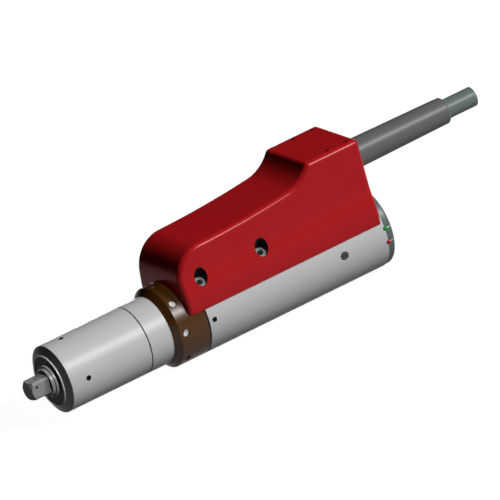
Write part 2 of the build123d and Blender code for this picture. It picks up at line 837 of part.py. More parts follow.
# Turning output spindle
save("output_spindle", output_spindle())
pins = planet_pins(output_flange_front, output_planet_rear, planet_pin_diameter / 2)
save("output_planet_pins", Compound(pins))
for number in range(planet_count):
    save("output_planet_" + str(number + 1), planet(number, output_planet_front, output_planet_rear))

# Turning input stage
save("input_carrier", input_carrier())
pins = planet_pins(input_flange_front, input_planet_rear, planet_pin_diameter / 2)
save("input_planet_pins", Compound(pins))
for number in range(planet_count):
    save("input_planet_" + str(number + 1), planet(number, input_planet_front, input_planet_rear))

# Turning motor rotor
save("rotor_shaft", rotor_shaft())
save("rotor_core", rotor_core())
save("rotor_magnets", rotor_magnets())
save("resolver_rotor", resolver_rotor())

# Nose
save("nose_housing", nose_housing())
save("front_retainer", front_retainer())
save("shaft_seal", shaft_seal())
save("output_front_bearing", output_bearing(retainer_rear))
save("output_rear_bearing", output_bearing(rear_bearing_front))
save("bearing_spacer", bearing_spacer())

# Gearing case and collar
save("gearcase", gearcase())
save("ring_gear", ring_gear())
save("torque_transducer", torque_transducer())
save("mounting_collar", mounting_collar())

# Motor
save("motor_tube", motor_tube())
save("tube_plug", tube_plug())
save("motor_front_plate", motor_front_plate())
save("motor_front_bearing", motor_bearing(front_plate_front + plate_lip_length))
save("stator_core", stator_core())
save("stator_windings", stator_windings())
save("motor_rear_plate", motor_rear_plate())
save("motor_rear_bearing", motor_bearing(rear_plate_front))
save("resolver_stator", resolver_stator())

# Rear cap
save("rear_cap", rear_cap())
save("green_lamp", lamp(lamp_stations()[0]))
save("red_lamp", lamp(lamp_stations()[1]))
save("lamp_board", lamp_board())

# Cover and what it holds
save("cover", cover())
save("cover_screws", cover_screws())
save("circuit_board", circuit_board())
save("board_brackets", board_brackets())
save("connector_block", connector_block())
save("cable_cores", cable_cores())
save("gland_nut", gland_nut())
save("bend_relief", bend_relief())
save("cable", cable())
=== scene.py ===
import json
import math

import bmesh
import bpy
from mathutils import Matrix, Vector


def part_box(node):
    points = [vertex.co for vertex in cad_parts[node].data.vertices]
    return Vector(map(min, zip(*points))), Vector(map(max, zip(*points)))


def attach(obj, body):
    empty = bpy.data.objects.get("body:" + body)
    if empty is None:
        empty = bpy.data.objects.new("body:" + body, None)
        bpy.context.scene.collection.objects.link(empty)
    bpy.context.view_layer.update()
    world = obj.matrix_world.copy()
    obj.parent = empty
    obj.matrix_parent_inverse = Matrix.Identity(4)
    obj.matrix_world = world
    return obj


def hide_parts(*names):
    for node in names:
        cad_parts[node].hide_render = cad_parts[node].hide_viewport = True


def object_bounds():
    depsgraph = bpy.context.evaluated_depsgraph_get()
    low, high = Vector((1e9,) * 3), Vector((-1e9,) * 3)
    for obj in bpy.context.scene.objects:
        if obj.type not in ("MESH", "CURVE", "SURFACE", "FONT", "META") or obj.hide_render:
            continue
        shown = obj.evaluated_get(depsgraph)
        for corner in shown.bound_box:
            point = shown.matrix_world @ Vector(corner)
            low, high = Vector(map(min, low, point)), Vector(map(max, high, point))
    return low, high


# Robot screwdriving spindle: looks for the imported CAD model.
# X runs along the axis from the square drive to the cable, Z is up, and X = 0 is the front edge of the
# mounting collar. Outlines are in millimetres, as in the CAD source, and MM turns them into metres.
MM = 0.001

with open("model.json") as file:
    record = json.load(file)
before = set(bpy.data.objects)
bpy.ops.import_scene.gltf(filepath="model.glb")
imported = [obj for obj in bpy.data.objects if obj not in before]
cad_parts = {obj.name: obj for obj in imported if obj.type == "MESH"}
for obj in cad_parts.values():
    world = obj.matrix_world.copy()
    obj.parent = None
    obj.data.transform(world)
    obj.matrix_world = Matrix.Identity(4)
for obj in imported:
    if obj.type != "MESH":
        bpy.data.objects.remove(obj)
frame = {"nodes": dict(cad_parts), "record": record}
cad_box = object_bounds()
nodes = frame["nodes"]
scene = bpy.context.scene
scene.view_settings.view_transform = "Standard"

# Camera: a very long lens, because parallel edges stay parallel in the photograph
CAMERA_RIGHT = Vector((0.8125, -0.5275, -0.2482)).normalized()
CAMERA_UP = Vector((0.3959, 0.1865, 0.8993)).normalized()
CAMERA_TARGET = Vector((0.0882, 0.0006, 0.0220))
FRAME_WIDTH = 0.3425
LENS = 1200.0
SENSOR = 36.0

camera_data = bpy.data.cameras.new("camera")
camera_data.lens = LENS
camera_data.sensor_width = SENSOR
camera_data.clip_end = 50.0
camera = bpy.data.objects.new("camera", camera_data)
scene.collection.objects.link(camera)
camera_back = CAMERA_RIGHT.cross(CAMERA_UP).normalized()
camera_turn = Matrix((CAMERA_RIGHT, camera_back.cross(CAMERA_RIGHT), camera_back)).transposed().to_4x4()
camera_place = CAMERA_TARGET + camera_back * FRAME_WIDTH * LENS / SENSOR
camera.matrix_world = Matrix.Translation(camera_place) @ camera_turn
scene.camera = camera


# Floor, world and lights
FLOOR_HALF_WIDTH = 8.0
FLOOR_MATT = 0.26
FLOOR_BOUNCE = 0.03
FLOOR_GLOW = 0.89
WORLD_FILL = 0.006
LIGHT_FROM = Vector((0.46, -0.68, 0.57))
KEY_STRENGTH = 1.45
FILL_STRENGTH = 1.60
LIGHT_SPREAD = math.radians(12)
BACK_FROM = Vector((0.46, 0.87, -0.20))
BACK_STRENGTH = 1.5


def seen_directly(tree):
    """1 for what the camera, a reflection or glass sees, and 0 for light that falls on things."""
    path = tree.nodes.new("ShaderNodeLightPath")
    total = path.outputs["Is Camera Ray"]
    for name in ("Is Glossy Ray", "Is Transmission Ray"):
        larger = tree.nodes.new("ShaderNodeMath")
        larger.operation = "MAXIMUM"
        tree.links.new(total, larger.inputs[0])
        tree.links.new(path.outputs[name], larger.inputs[1])
        total = larger.outputs[0]
    return total


def studio_world():
    """An even, weak fill from all round; the white background is the floor's."""
    world = bpy.data.worlds.new("studio")
    world.use_nodes = True
    fill = world.node_tree.nodes["Background"]
    fill.inputs["Color"].default_value = (1, 1, 1, 1)
    fill.inputs["Strength"].default_value = WORLD_FILL
    return world


def floor_paper():
    """Pale paper: most of its white is its own where it is seen, so it throws little light back."""
    mat = bpy.data.materials.new("floor_paper")
    mat.use_nodes = True
    tree = mat.node_tree
    tree.nodes.clear()
    out = tree.nodes.new("ShaderNodeOutputMaterial")
    seen = seen_directly(tree)
    tone = tree.nodes.new("ShaderNodeMix")
    tone.data_type = "RGBA"
    tone.inputs["A"].default_value = (FLOOR_BOUNCE, FLOOR_BOUNCE, FLOOR_BOUNCE, 1)
    tone.inputs["B"].default_value = (FLOOR_MATT, FLOOR_MATT, FLOOR_MATT, 1)
    tree.links.new(seen, tone.inputs["Factor"])
    matt = tree.nodes.new("ShaderNodeBsdfDiffuse")
    tree.links.new(tone.outputs["Result"], matt.inputs["Color"])
    glow = tree.nodes.new("ShaderNodeEmission")
    strength = tree.nodes.new("ShaderNodeMath")
    strength.operation = "MULTIPLY"
    strength.inputs[1].default_value = FLOOR_GLOW
    both = tree.nodes.new("ShaderNodeAddShader")
    tree.links.new(seen, strength.inputs[0])
    tree.links.new(strength.outputs[0], glow.inputs["Strength"])
    tree.links.new(matt.outputs[0], both.inputs[0])
    tree.links.new(glow.outputs[0], both.inputs[1])
    tree.links.new(both.outputs[0], out.inputs["Surface"])
    return mat


scene.world = studio_world()
floor_mesh = bpy.data.meshes.new("floor")
corners = [(-1, -1), (1, -1), (1, 1), (-1, 1)]
floor_points = [(x * FLOOR_HALF_WIDTH, y * FLOOR_HALF_WIDTH, 0) for x, y in corners]
floor_mesh.from_pydata(floor_points, [], [(0, 1, 2, 3)])
floor_mesh.materials.append(floor_paper())
floor = bpy.data.objects.new("floor", floor_mesh)
floor.location = (0, 0, cad_box[0][2])
scene.collection.objects.link(floor)

# The back light falls mostly on the sides that the photograph doesn't show
LIGHTS = [
    ("key", LIGHT_FROM, KEY_STRENGTH),
    ("fill", LIGHT_FROM, FILL_STRENGTH),
    ("back", BACK_FROM, BACK_STRENGTH),
]
for light_name, direction, strength in LIGHTS:
    light_data = bpy.data.lights.new(light_name, "SUN")
    light_data.energy = strength
    light_data.angle = LIGHT_SPREAD
    light_data.use_shadow = light_name == "key"
    light = bpy.data.objects.new(light_name, light_data)
    light.rotation_euler = direction.to_track_quat("Z", "Y").to_euler()
    scene.collection.objects.link(light)


# Materials
GRAZING = 0.02


def new_material(name, colour, rough, metal, specular, shine=(1, 1, 1)):
    """A Principled material with its even values on the shader's own sockets.

    Without metal in it, the specular level stays at GRAZING, so that flat glances reflect little, and the
    shine lifts what faces the light to the level asked for.
    """
    mat = bpy.data.materials.new(name)
    mat.use_nodes = True
    shader = mat.node_tree.nodes["Principled BSDF"]
    shader.inputs["Base Color"].default_value = (*colour, 1)
    shader.inputs["Roughness"].default_value = rough
    shader.inputs["Metallic"].default_value = metal
    level = specular if metal else GRAZING
    lift = specular / level
    shader.inputs["Specular IOR Level"].default_value = level
    shader.inputs["Specular Tint"].default_value = (*[lift * channel for channel in shine], 1)
    return mat


def place(tree, scale=(1, 1, 1)):
    """The point on the surface in the object's frame, stretched by scale."""
    where = tree.nodes.new("ShaderNodeTexCoord")
    mapping = tree.nodes.new("ShaderNodeMapping")
    mapping.inputs["Scale"].default_value = scale
    tree.links.new(where.outputs["Object"], mapping.inputs["Vector"])
    return mapping.outputs["Vector"]


def noise(tree, scale, detail=3.0, stretch=(1, 1, 1)):
    """A noise value from 0 to 1 over the surface."""
    node = tree.nodes.new("ShaderNodeTexNoise")
    node.inputs["Scale"].default_value = scale
    node.inputs["Detail"].default_value = detail
    tree.links.new(place(tree, stretch), node.inputs["Vector"])
    return node.outputs["Fac"]


def tint(mat, value, low, high):
    """Vary the base colour between two brightness factors."""
    tree = mat.node_tree
    shader = tree.nodes["Principled BSDF"]
    colour = shader.inputs["Base Color"].default_value[:3]
    mix = tree.nodes.new("ShaderNodeMix")
    mix.data_type = "RGBA"
    mix.inputs["A"].default_value = (*[channel * low for channel in colour], 1)
    mix.inputs["B"].default_value = (*[channel * high for channel in colour], 1)
    tree.links.new(value, mix.inputs["Factor"])
    tree.links.new(mix.outputs["Result"], shader.inputs["Base Color"])


def roughen(mat, value, spread):
    """Vary the roughness by spread either side of its even value."""
    tree = mat.node_tree
    socket = tree.nodes["Principled BSDF"].inputs["Roughness"]
    node = tree.nodes.new("ShaderNodeMapRange")
    node.inputs["To Min"].default_value = socket.default_value - spread
    node.inputs["To Max"].default_value = socket.default_value + spread
    tree.links.new(value, node.inputs["Value"])
    tree.links.new(node.outputs["Result"], socket)


def bump(mat, value, strength, depth):
    """Raise the surface by value times depth, in metres."""
    tree = mat.node_tree
    node = tree.nodes.new("ShaderNodeBump")
    node.inputs["Strength"].default_value = strength
    node.inputs["Distance"].default_value = depth
    tree.links.new(value, node.inputs["Height"])
    tree.links.new(node.outputs["Normal"], tree.nodes["Principled BSDF"].inputs["Normal"])


def turned_metal(name, colour, rough, metal, specular=0.3):
    """Lathe-turned metal: fine rings round X, a faint cloudy tone and uneven gloss."""
    mat = new_material(name, colour, rough, metal, specular)
    rings = noise(mat.node_tree, 2600.0, 2.0, (1, 0.01, 0.01))
    tint(mat, noise(mat.node_tree, 70.0), 0.96, 1.04)
    roughen(mat, rings, 0.05)
    bump(mat, rings, 0.12, 0.00004)
    return mat


def ground_metal(name, colour, rough, metal, specular=0.3):
    """Milled, ground or plated metal with a fine even grain."""
    mat = new_material(name, colour, rough, metal, specular)
    grain = noise(mat.node_tree, 1800.0)
    tint(mat, noise(mat.node_tree, 160.0), 0.93, 1.07)
    roughen(mat, grain, 0.06)
    bump(mat, grain, 0.08, 0.00003)
    return mat


def moulded(name, colour, rough, specular=0.3, shine=(1, 1, 1)):
    """Moulded plastic or rubber with a fine spark-eroded grain."""
    mat = new_material(name, colour, rough, 0.0, specular, shine)
    grain = noise(mat.node_tree, 1500.0, 4.0)
    tint(mat, noise(mat.node_tree, 35.0), 0.96, 1.04)
    roughen(mat, grain, 0.04)
    bump(mat, grain, 0.10, 0.00003)
    return mat


def lamp_lens(name, colour, glow):
    """A tinted lens that glows a little."""
    mat = moulded(name, colour, 0.22, 0.2)
    shader = mat.node_tree.nodes["Principled BSDF"]
    shader.inputs["Emission Color"].default_value = (*colour, 1)
    shader.inputs["Emission Strength"].default_value = glow
    return mat


MATERIALS = {
    "bright_steel": turned_metal("bright_steel", (0.55, 0.55, 0.55), 0.30, 0.0, 0.5),
    # dark_steel also serves as painted shade: dark screws, pins, rings, sleeves, liners and discs set in
    # holes, grooves, counterbores and front faces
    "dark_steel": turned_metal("dark_steel", (0.012, 0.012, 0.013), 0.50, 0.0, 0.12),
    "bearing_steel": turned_metal("bearing_steel", (0.45, 0.45, 0.46), 0.30, 0.5),
    "gear_steel": ground_metal("gear_steel", (0.32, 0.32, 0.33), 0.36, 0.5),
    "core_steel": ground_metal("core_steel", (0.22, 0.22, 0.23), 0.45, 0.4),
    "magnet": ground_metal("magnet", (0.40, 0.40, 0.42), 0.30, 0.5),
    "bare_aluminium": turned_metal("bare_aluminium", (0.60, 0.60, 0.60), 0.40, 0.0, 0.31),
    "bright_cut": turned_metal("bright_cut", (0.85, 0.85, 0.85), 0.30, 0.0, 0.4),
    "bronze_anodised": turned_metal("bronze_anodised", (0.082, 0.030, 0.005), 0.31, 0.0, 0.28),
    "plug_steel": ground_metal("plug_steel", (0.07, 0.07, 0.07), 0.45, 0.0, 0.2),
    "copper": ground_metal("copper", (0.55, 0.25, 0.12), 0.35, 0.6),
    "cap_grey": turned_metal("cap_grey", (0.108, 0.148, 0.127), 0.38, 0.0, 0.30),
    "green_lens": lamp_lens("green_lens", (0.01, 0.30, 0.05), 0.10),
    "red_lens": lamp_lens("red_lens", (0.40, 0.01, 0.02), 0.10),
    "board_green": moulded("board_green", (0.02, 0.15, 0.06), 0.45),
    "red_moulding": moulded("red_moulding", (0.47, 0.0105, 0.0135), 0.29, 0.25, shine=(1, 0.60, 0.60)),
    "screw_steel": ground_metal("screw_steel", (0.30, 0.30, 0.30), 0.40, 0.0, 0.2),
    "black_plastic": moulded("black_plastic", (0.02, 0.02, 0.02), 0.45),
    "core_insulation": moulded("core_insulation", (0.30, 0.30, 0.30), 0.45),
    "relief_rubber": moulded("relief_rubber", (0.145, 0.145, 0.145), 0.40, 0.25),
    "cable_sheath": moulded("cable_sheath", (0.155, 0.195, 0.172), 0.40, 0.25),
}

slot_of = {part["node"]: part["material_slot"] for part in frame["record"]["subparts"]}
for name, node in nodes.items():
    node.data.materials.clear()
    node.data.materials.append(MATERIALS[slot_of[name]])


# Building helpers
EDGE_RADIUS = 0.25


def low(node, axis):
    """The lowest coordinate of a CAD node along an axis, in millimetres."""
    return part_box(node)[0][axis] / MM


def high(node, axis):
    """The highest coordinate of a CAD node along an axis, in millimetres."""
    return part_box(node)[1][axis] / MM


def corner_arc(before, corner, after, radius, steps=4):
    """The points that round one corner of an outline."""
    back = before - corner
    forth = after - corner
    half = back.angle(forth) / 2
    reach = min(radius / math.tan(half), 0.45 * back.length, 0.45 * forth.length)
    back.normalize()
    forth.normalize()
    centre = corner + (back + forth).normalized() * reach / math.cos(half)
    start = corner + back * reach - centre
    end = corner + forth * reach - centre
    sweep = math.remainder(math.atan2(end.y, end.x) - math.atan2(start.y, start.x), 2 * math.pi)
    turns = [Matrix.Rotation(sweep * step / steps, 2) for step in range(steps + 1)]
    return [centre + turn @ start for turn in turns]


def rounded(outline):
    """Rounds a closed outline of (x, radius) points; a third number is that corner's own radius."""
    points = [Vector(point[:2]) for point in outline]
    result = []
    for index, point in enumerate(points):
        radius = outline[index][2] if len(outline[index]) > 2 else EDGE_RADIUS
        before = points[index - 1]
        after = points[(index + 1) % len(points)]
        if radius and point.y > 0:
            result += corner_arc(before, point, after, radius)
        else:
            result.append(point)
    return result


def radial(x, angle):
    """Turns the X axis into a radius of the spindle at station x; angle runs from +Y towards +Z."""
    outward = Vector((0, math.cos(math.radians(angle)), math.sin(math.radians(angle))))
    along = Vector((1, 0, 0))
    turn = Matrix((outward, along, outward.cross(along))).transposed().to_4x4()
    return Matrix.Translation((x * MM, 0, 0)) @ turn


def raised(height):
    """Lifts a shape that is turned about X to its own height over the spindle axis."""
    return Matrix.Translation((0, 0, height * MM))


def from_bmesh(name, shape):
    """A new object from a bmesh, with its faces turned outwards."""
    bmesh.ops.remove_doubles(shape, verts=shape.verts, dist=1e-7)
    bmesh.ops.dissolve_degenerate(shape, dist=1e-7, edges=shape.edges)
    bmesh.ops.recalc_face_normals(shape, faces=shape.faces)
    mesh = bpy.data.meshes.new(name)
    shape.to_mesh(mesh)
    shape.free()
    piece = bpy.data.objects.new(name, mesh)
    scene.collection.objects.link(piece)
    return piece


def turned(name, outline, where=Matrix(), around=160):
    """A piece turned about X from a closed outline of (x, radius) points."""
    shape = bmesh.new()
    rings = []
    for step in range(around):
        angle = 2 * math.pi * (step + 0.5) / around
        ring = [(x * MM, r * MM * math.cos(angle), r * MM * math.sin(angle)) for x, r in outline]
        rings.append([shape.verts.new(where @ Vector(point)) for point in ring])
    count = len(outline)
    for step in range(around):
        here = rings[step]
        there = rings[(step + 1) % around]
        for index in range(count):
            following = (index + 1) % count
            if outline[index][1] > 0 or outline[following][1] > 0:
                shape.faces.new((here[index], there[index], there[following], here[following]))
    return from_bmesh(name, shape)


def rod_outline(start, end, radius):
    """The outline of a solid bar for turned()."""
    return [(start, 0), (start, radius), (end, radius), (end, 0)]


def bore_cutter(x, angle, start, surface, radius, edge):
    """A hole cutter along a radius of the spindle that also breaks the hole's edge at the surface."""
    margin = 1.0
    outline = [
        (start, 0), (start, radius), (surface - edge, radius), (surface + margin, radius + edge + margin),
        (surface + margin, 0),
    ]
    return turned("cutter", outline, radial(x, angle), 48)


def prism(name, outline, half_width):
    """A slab with an outline in X and Z, from -half_width to half_width in Y."""
    shape = bmesh.new()
    near = [shape.verts.new((x * MM, -half_width * MM, z * MM)) for x, z in outline]
    far = [shape.verts.new((x * MM, half_width * MM, z * MM)) for x, z in outline]
    shape.faces.new(near)
    shape.faces.new(list(reversed(far)))
    count = len(outline)
    for index in range(count):
        following = (index + 1) % count
        shape.faces.new((near[index], far[index], far[following], near[following]))
    return from_bmesh(name, shape)


def combine(piece, tools, operation="DIFFERENCE"):
    """Cuts the tools out of a piece, or keeps only what lies in them, and deletes the tools."""
    for tool in tools:
        change = piece.modifiers.new("change", "BOOLEAN")
        change.operation = operation
        change.solver = "EXACT"
        change.object = tool
    mesh = bpy.data.meshes.new_from_object(piece.evaluated_get(bpy.context.evaluated_depsgraph_get()))
    piece.modifiers.clear()
    old = piece.data
    piece.data = mesh
    bpy.data.meshes.remove(old)
    for tool in tools:
        used = tool.data
        bpy.data.objects.remove(tool)
        bpy.data.meshes.remove(used)
    return piece


def finish_piece(piece, node, finish=None, smooth_angle=32.0):
    """Shades, paints and attaches a piece that stands for a CAD node, in its own finish or the node's."""
    finish = finish or slot_of[node]
    piece.data.materials.clear()
    piece.data.materials.append(MATERIALS[finish])
    piece.data.shade_smooth()
    piece.data.set_sharp_from_angle(angle=math.radians(smooth_angle))
    weigh = piece.modifiers.new("weigh", "WEIGHTED_NORMAL")
    weigh.keep_sharp = True
    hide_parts(node)
    bodies = frame["record"]["behaviour"]["bodies"]
    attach(piece, next(body for body, members in bodies.items() if node in members))
    return piece


# Gaps, stations and radii that several pieces share, in millimetres
SLIP = 0.02           # between fixed pieces that slide together
RUNNING = 0.03        # between a turning shaft and its seat
SIDE_GAP = 0.5        # beside a turning piece
EDGE_BREAK = 0.1      # at the mouth of a small hole
RIM = 0.5             # the bright rims of the shoulder, the seal and the retainer
TUBE_WALL = 3.0
THREAD_DEPTH = 0.75
SPIGOT_STEP = 1.75
SEAL_WALL = 1.7
RETAINER_STEP = 0.2
OUTPUT_BEARING_WIDTH = 9.0
REAR_BEARING_SETBACK = 18.2
# The radial holes' radius, and how far the dark screws in them sit below the surface: painted shade
SHADED_HOLE_RADIUS = 1.88
SHADE_SCREW_RECESS = 0.2
collar_front = low("mounting_collar", 0)
tube_front = low("motor_tube", 0)
tube_rear = high("motor_tube", 0)
land_front = low("output_rear_bearing", 0) + REAR_BEARING_SETBACK
tube_radius = high("mounting_collar", 2)
tube_bore = tube_radius - TUBE_WALL
barrel_radius = high("nose_housing", 2)
bearing_radius = high("output_front_bearing", 2)
thread_radius = barrel_radius - THREAD_DEPTH
spigot_radius = barrel_radius - SPIGOT_STEP
seal_radius = high("shaft_seal", 2)
shoulder_radius = seal_radius - SEAL_WALL
retainer_radius = bearing_radius + RETAINER_STEP
planet_flange_radius = high("input_carrier", 2)


# Cable and its bend relief
CABLE_DIAMETER = 14.2
CABLE_WALL = 1.9
CABLE_HEIGHT = 53.0
CABLE_EXIT = (0.1753, 0.0, 0.0530)
CABLE_END = (0.2858, 0.0, 0.0530)
SHELL_OVERHANG = 1.3
SLEEVE_RADIUS = 9.0
SLEEVE_FLANGE_RADIUS = 10.75
SLEEVE_END_RADIUS = 9.65


def cable_route():
    """The centre line of the cable outside the cover, read from its spline."""
    curve = bpy.data.curves.new("cable_route", "CURVE")
    curve.dimensions = "3D"
    spline = curve.splines.new("NURBS")
    points = [Vector(CABLE_EXIT).lerp(Vector(CABLE_END), part / 3) for part in range(4)]
    spline.points.add(len(points) - 1)
    for point, position in zip(spline.points, points):
        point.co = (*position, 1)
    spline.order_u = 3
    spline.use_endpoint_u = True
    holder = bpy.data.objects.new("cable_route", curve)
    scene.collection.objects.link(holder)
    line = bpy.data.meshes.new_from_object(holder.evaluated_get(bpy.context.evaluated_depsgraph_get()))
    path = [tuple(vertex.co) for vertex in line.vertices]
    bpy.data.objects.remove(holder)
    bpy.data.curves.remove(curve)
    bpy.data.meshes.remove(line)
    return path


def cable_sheath_piece(path):
    """The sheath along the centre line, hollow at its cut end, where its edges are rounded."""
    stations = [point[0] / MM for point in path]
    radius = CABLE_DIAMETER / 2
    bore = radius - CABLE_WALL
    end = stations[-1]
    rim_start = end - 12
    rim = rounded([(rim_start, radius), (end, radius, 0.35), (end, bore, 0.2), (rim_start, bore)])
    # The end's two edges, then the start of the corner behind them, where the bore's wall folds back
    mouth = [tuple(point) for point in rim[5:-2]]
    outer = [(x, radius) for x in stations[:-1]]
    inner = [(x, bore) for x in reversed(stations[:-1])]
    return turned("cable_sheath", outer + mouth + inner, raised(CABLE_HEIGHT), 64)


cable_path = cable_route()
sheath = cable_sheath_piece(cable_path)
finish_piece(sheath, "cable")

relief_front = low("bend_relief", 0)
relief_end = high("bend_relief", 0)
cover_rear = high("cover", 0)
shell_rear = cover_rear + SHELL_OVERHANG
relief_bore = CABLE_DIAMETER / 2 + SLIP
relief = finish_piece(turned("bend_relief_sleeve", rounded([
    (relief_front, relief_bore), (relief_front, SLEEVE_RADIUS), (shell_rear, SLEEVE_RADIUS, 0),
    (shell_rear, SLEEVE_FLANGE_RADIUS, 0.5), (relief_end, SLEEVE_END_RADIUS, 2.4),
    (relief_end, relief_bore, 0.4),
]), raised(CABLE_HEIGHT), 96), "bend_relief")


# Output spindle with its square drive
SQUARE_LENGTH = 14.5
SQUARE_WIDTH = 12.7
SQUARE_CORNER = 1.9
TIP_LENGTH = 2.0
JOURNAL_STEP = 0.1
OUTPUT_FLANGE_LENGTH = 5.5
CROSS_HOLE_RADIUS = 0.9
# How far the dark pins in the cross holes sit below the square's faces; the pins are painted shade
SHADE_PIN_RECESS = 0.15
# Each cross hole: its angle, its distance from the square's root and its height over the axis
CROSS_HOLES = [(0, 9.9, 2.4), (90, 7.0, 0.0)]


def square_block(front, rear):
    """The square with rounded corners and a tip that is chamfered on the lathe."""
    half = SQUARE_WIDTH / 2
    before, corner, after = Vector((half, -half)), Vector((half, half)), Vector((-half, half))
    section = []
    for quarter in range(4):
        turn = Matrix.Rotation(quarter * math.pi / 2, 2)
        section += [turn @ point for point in corner_arc(before, corner, after, SQUARE_CORNER, 6)]
    shape = bmesh.new()
    loops = []
    for x in (front, rear):
        loops.append([shape.verts.new((x * MM, point.x * MM, point.y * MM)) for point in section])
    for here, there in zip(loops, loops[1:]):
        for index in range(len(section)):
            following = (index + 1) % len(section)
            shape.faces.new((here[index], here[following], there[following], there[index]))
    shape.faces.new(loops[0])
    shape.faces.new(list(reversed(loops[-1])))
    outside = half + SQUARE_CORNER
    envelope = turned("cutter", rounded([
        (front, 0), (front, half - 0.3, 0.3), (front + TIP_LENGTH, outside, 0.3), (rear + 1, outside, 0),
        (rear + 1, 0),
    ]), around=96)
    return combine(from_bmesh("square_drive", shape), [envelope], "INTERSECT")


def cross_hole_cutter(where):
    """A cutter right through the square that also breaks the hole's edges at both faces."""
    reach = SQUARE_WIDTH / 2
    margin = 1.0
    radius = CROSS_HOLE_RADIUS
    mouth = radius + EDGE_BREAK + margin
    return turned("cutter", [
        (-reach - margin, 0), (-reach - margin, mouth), (-reach + EDGE_BREAK, radius),
        (reach - EDGE_BREAK, radius), (reach + margin, mouth), (reach + margin, 0),
    ], where, 32)


def spindle_piece():
    """The spindle with its planet flange, the dark face of its shoulder as painted shade, and its
    cross-drilled square, whose holes hold dark pins as painted shade.
    """
    square_tip = low("output_spindle", 0)
    shoulder = square_tip + SQUARE_LENGTH
    journal = shoulder_radius + JOURNAL_STEP
    seat = low("output_front_bearing", 0) - SIDE_GAP
    flange_rear = high("output_spindle", 0)
    flange_front = flange_rear - OUTPUT_FLANGE_LENGTH
    rim = shoulder_radius - RIM
    body = turned("spindle", rounded([
        (shoulder + 0.4, 0), (shoulder + 0.4, rim, 0), (shoulder, rim, 0.1),
        (shoulder, shoulder_radius, 0.4), (seat, shoulder_radius), (seat, journal),
        (flange_front, journal), (flange_front, planet_flange_radius),
        (flange_rear, planet_flange_radius), (flange_rear, 0),
    ]), around=128)
    finish_piece(body, "output_spindle")
    # A dark disc on the shoulder's front face, inside its bright rim: painted shade
    shade_face_outline = rod_outline(shoulder + 0.05, shoulder + 0.5, rim - SLIP)
    face = turned("spindle_shoulder_shade", shade_face_outline, around=128)
    finish_piece(face, "output_spindle", "dark_steel")
    square = square_block(square_tip, shoulder + 0.3)
    shade_pin_end = SQUARE_WIDTH / 2 - SHADE_PIN_RECESS
    shade_pin_outline = rod_outline(-shade_pin_end, shade_pin_end, CROSS_HOLE_RADIUS - SLIP)
    holes = []
    # Dark pins fill the cross holes: painted shade
    for angle, setback, height in CROSS_HOLES:
        where = raised(height) @ radial(shoulder - setback, angle)
        pin = turned("cross_hole_shade_pin_" + str(angle), shade_pin_outline, where, 32)
        finish_piece(pin, "output_spindle", "dark_steel")
        holes.append(cross_hole_cutter(where))
    return finish_piece(combine(square, holes), "output_spindle", "screw_steel")


spindle_piece()

# Shaft seal and front retainer
LIP_LENGTH = 1.2
lip_front = low("front_retainer", 0)
retainer_rear = high("front_retainer", 0)


def seal_pieces():
    """The seal's bright ring and the dark lip that runs on the shoulder; the lip's dark is painted shade on
    the seal's front face.
    """
    front = low("shaft_seal", 0)
    rear = high("shaft_seal", 0)
    bore = shoulder_radius + RUNNING
    rim = seal_radius - RIM
    ring = turned("shaft_seal_ring", rounded([
        (front + 0.5, bore), (front + 0.5, rim, 0), (front, rim, 0.1), (front, seal_radius, 0.35),
        (rear, seal_radius), (rear, bore),
    ]), around=128)
    finish_piece(ring, "shaft_seal")
    # The dark lip on the seal's front face: painted shade
    lip = turned("shaft_seal_lip_shade", rounded([
        (front + 0.1, bore), (front + 0.1, rim - SLIP, 0.1), (front + 0.5, rim - SLIP, 0),
        (front + 0.5, bore, 0),
    ]), around=128)
    finish_piece(lip, "shaft_seal", "dark_steel")


def retainer_pieces():
    """The retainer's dark ring and the bright lip round its front."""
    bore = seal_radius + SLIP
    rim = retainer_radius - RIM
    root = lip_front + LIP_LENGTH / 2
    foot = lip_front + LIP_LENGTH
    ring = turned("front_retainer_ring", rounded([
        (root, rim, 0), (foot, retainer_radius, 0), (retainer_rear, retainer_radius),
        (retainer_rear, bore), (root, bore, 0.2),
    ]), around=128)
    finish_piece(ring, "front_retainer")
    lip = turned("front_retainer_lip", rounded([
        (lip_front, rim, 0.1), (lip_front, retainer_radius, 0.25), (foot, retainer_radius, 0),
        (root, rim, 0),
    ]))
    finish_piece(lip, "front_retainer", "bright_cut")


seal_pieces()
retainer_pieces()


def painted_shade_screw(name, x, angle, surface, node):
    """A dark cup-ended screw that closes a radial hole just below a surface's height over the axis: painted
    shade that darkens the hole.
    """
    rim = surface - SHADE_SCREW_RECESS
    outline = [
        (rim - 2.0, 0), (rim - 2.0, SHADED_HOLE_RADIUS), (rim, SHADED_HOLE_RADIUS), (rim, 0.85 * SHADED_HOLE_RADIUS),
        (rim - 1.5, 0.8 * SHADED_HOLE_RADIUS), (rim - 1.5, 0),
    ]
    return finish_piece(turned(name, outline, radial(x, angle), 32), node, "dark_steel")


# Nose barrel
NOSE_CONE_LENGTH = 2.8
NOSE_TIP_RIM = 0.5
NOSE_HOLE_SETBACK = 14.0
NOSE_HOLE_ANGLES = (0, 90, 180, 270)
PARTING_WIDTH = 0.8
PARTING_DEPTH = 0.8
PARTING_RECESS = 0.12
nose_tip = low("nose_housing", 0)
nose_front = nose_tip + NOSE_CONE_LENGTH


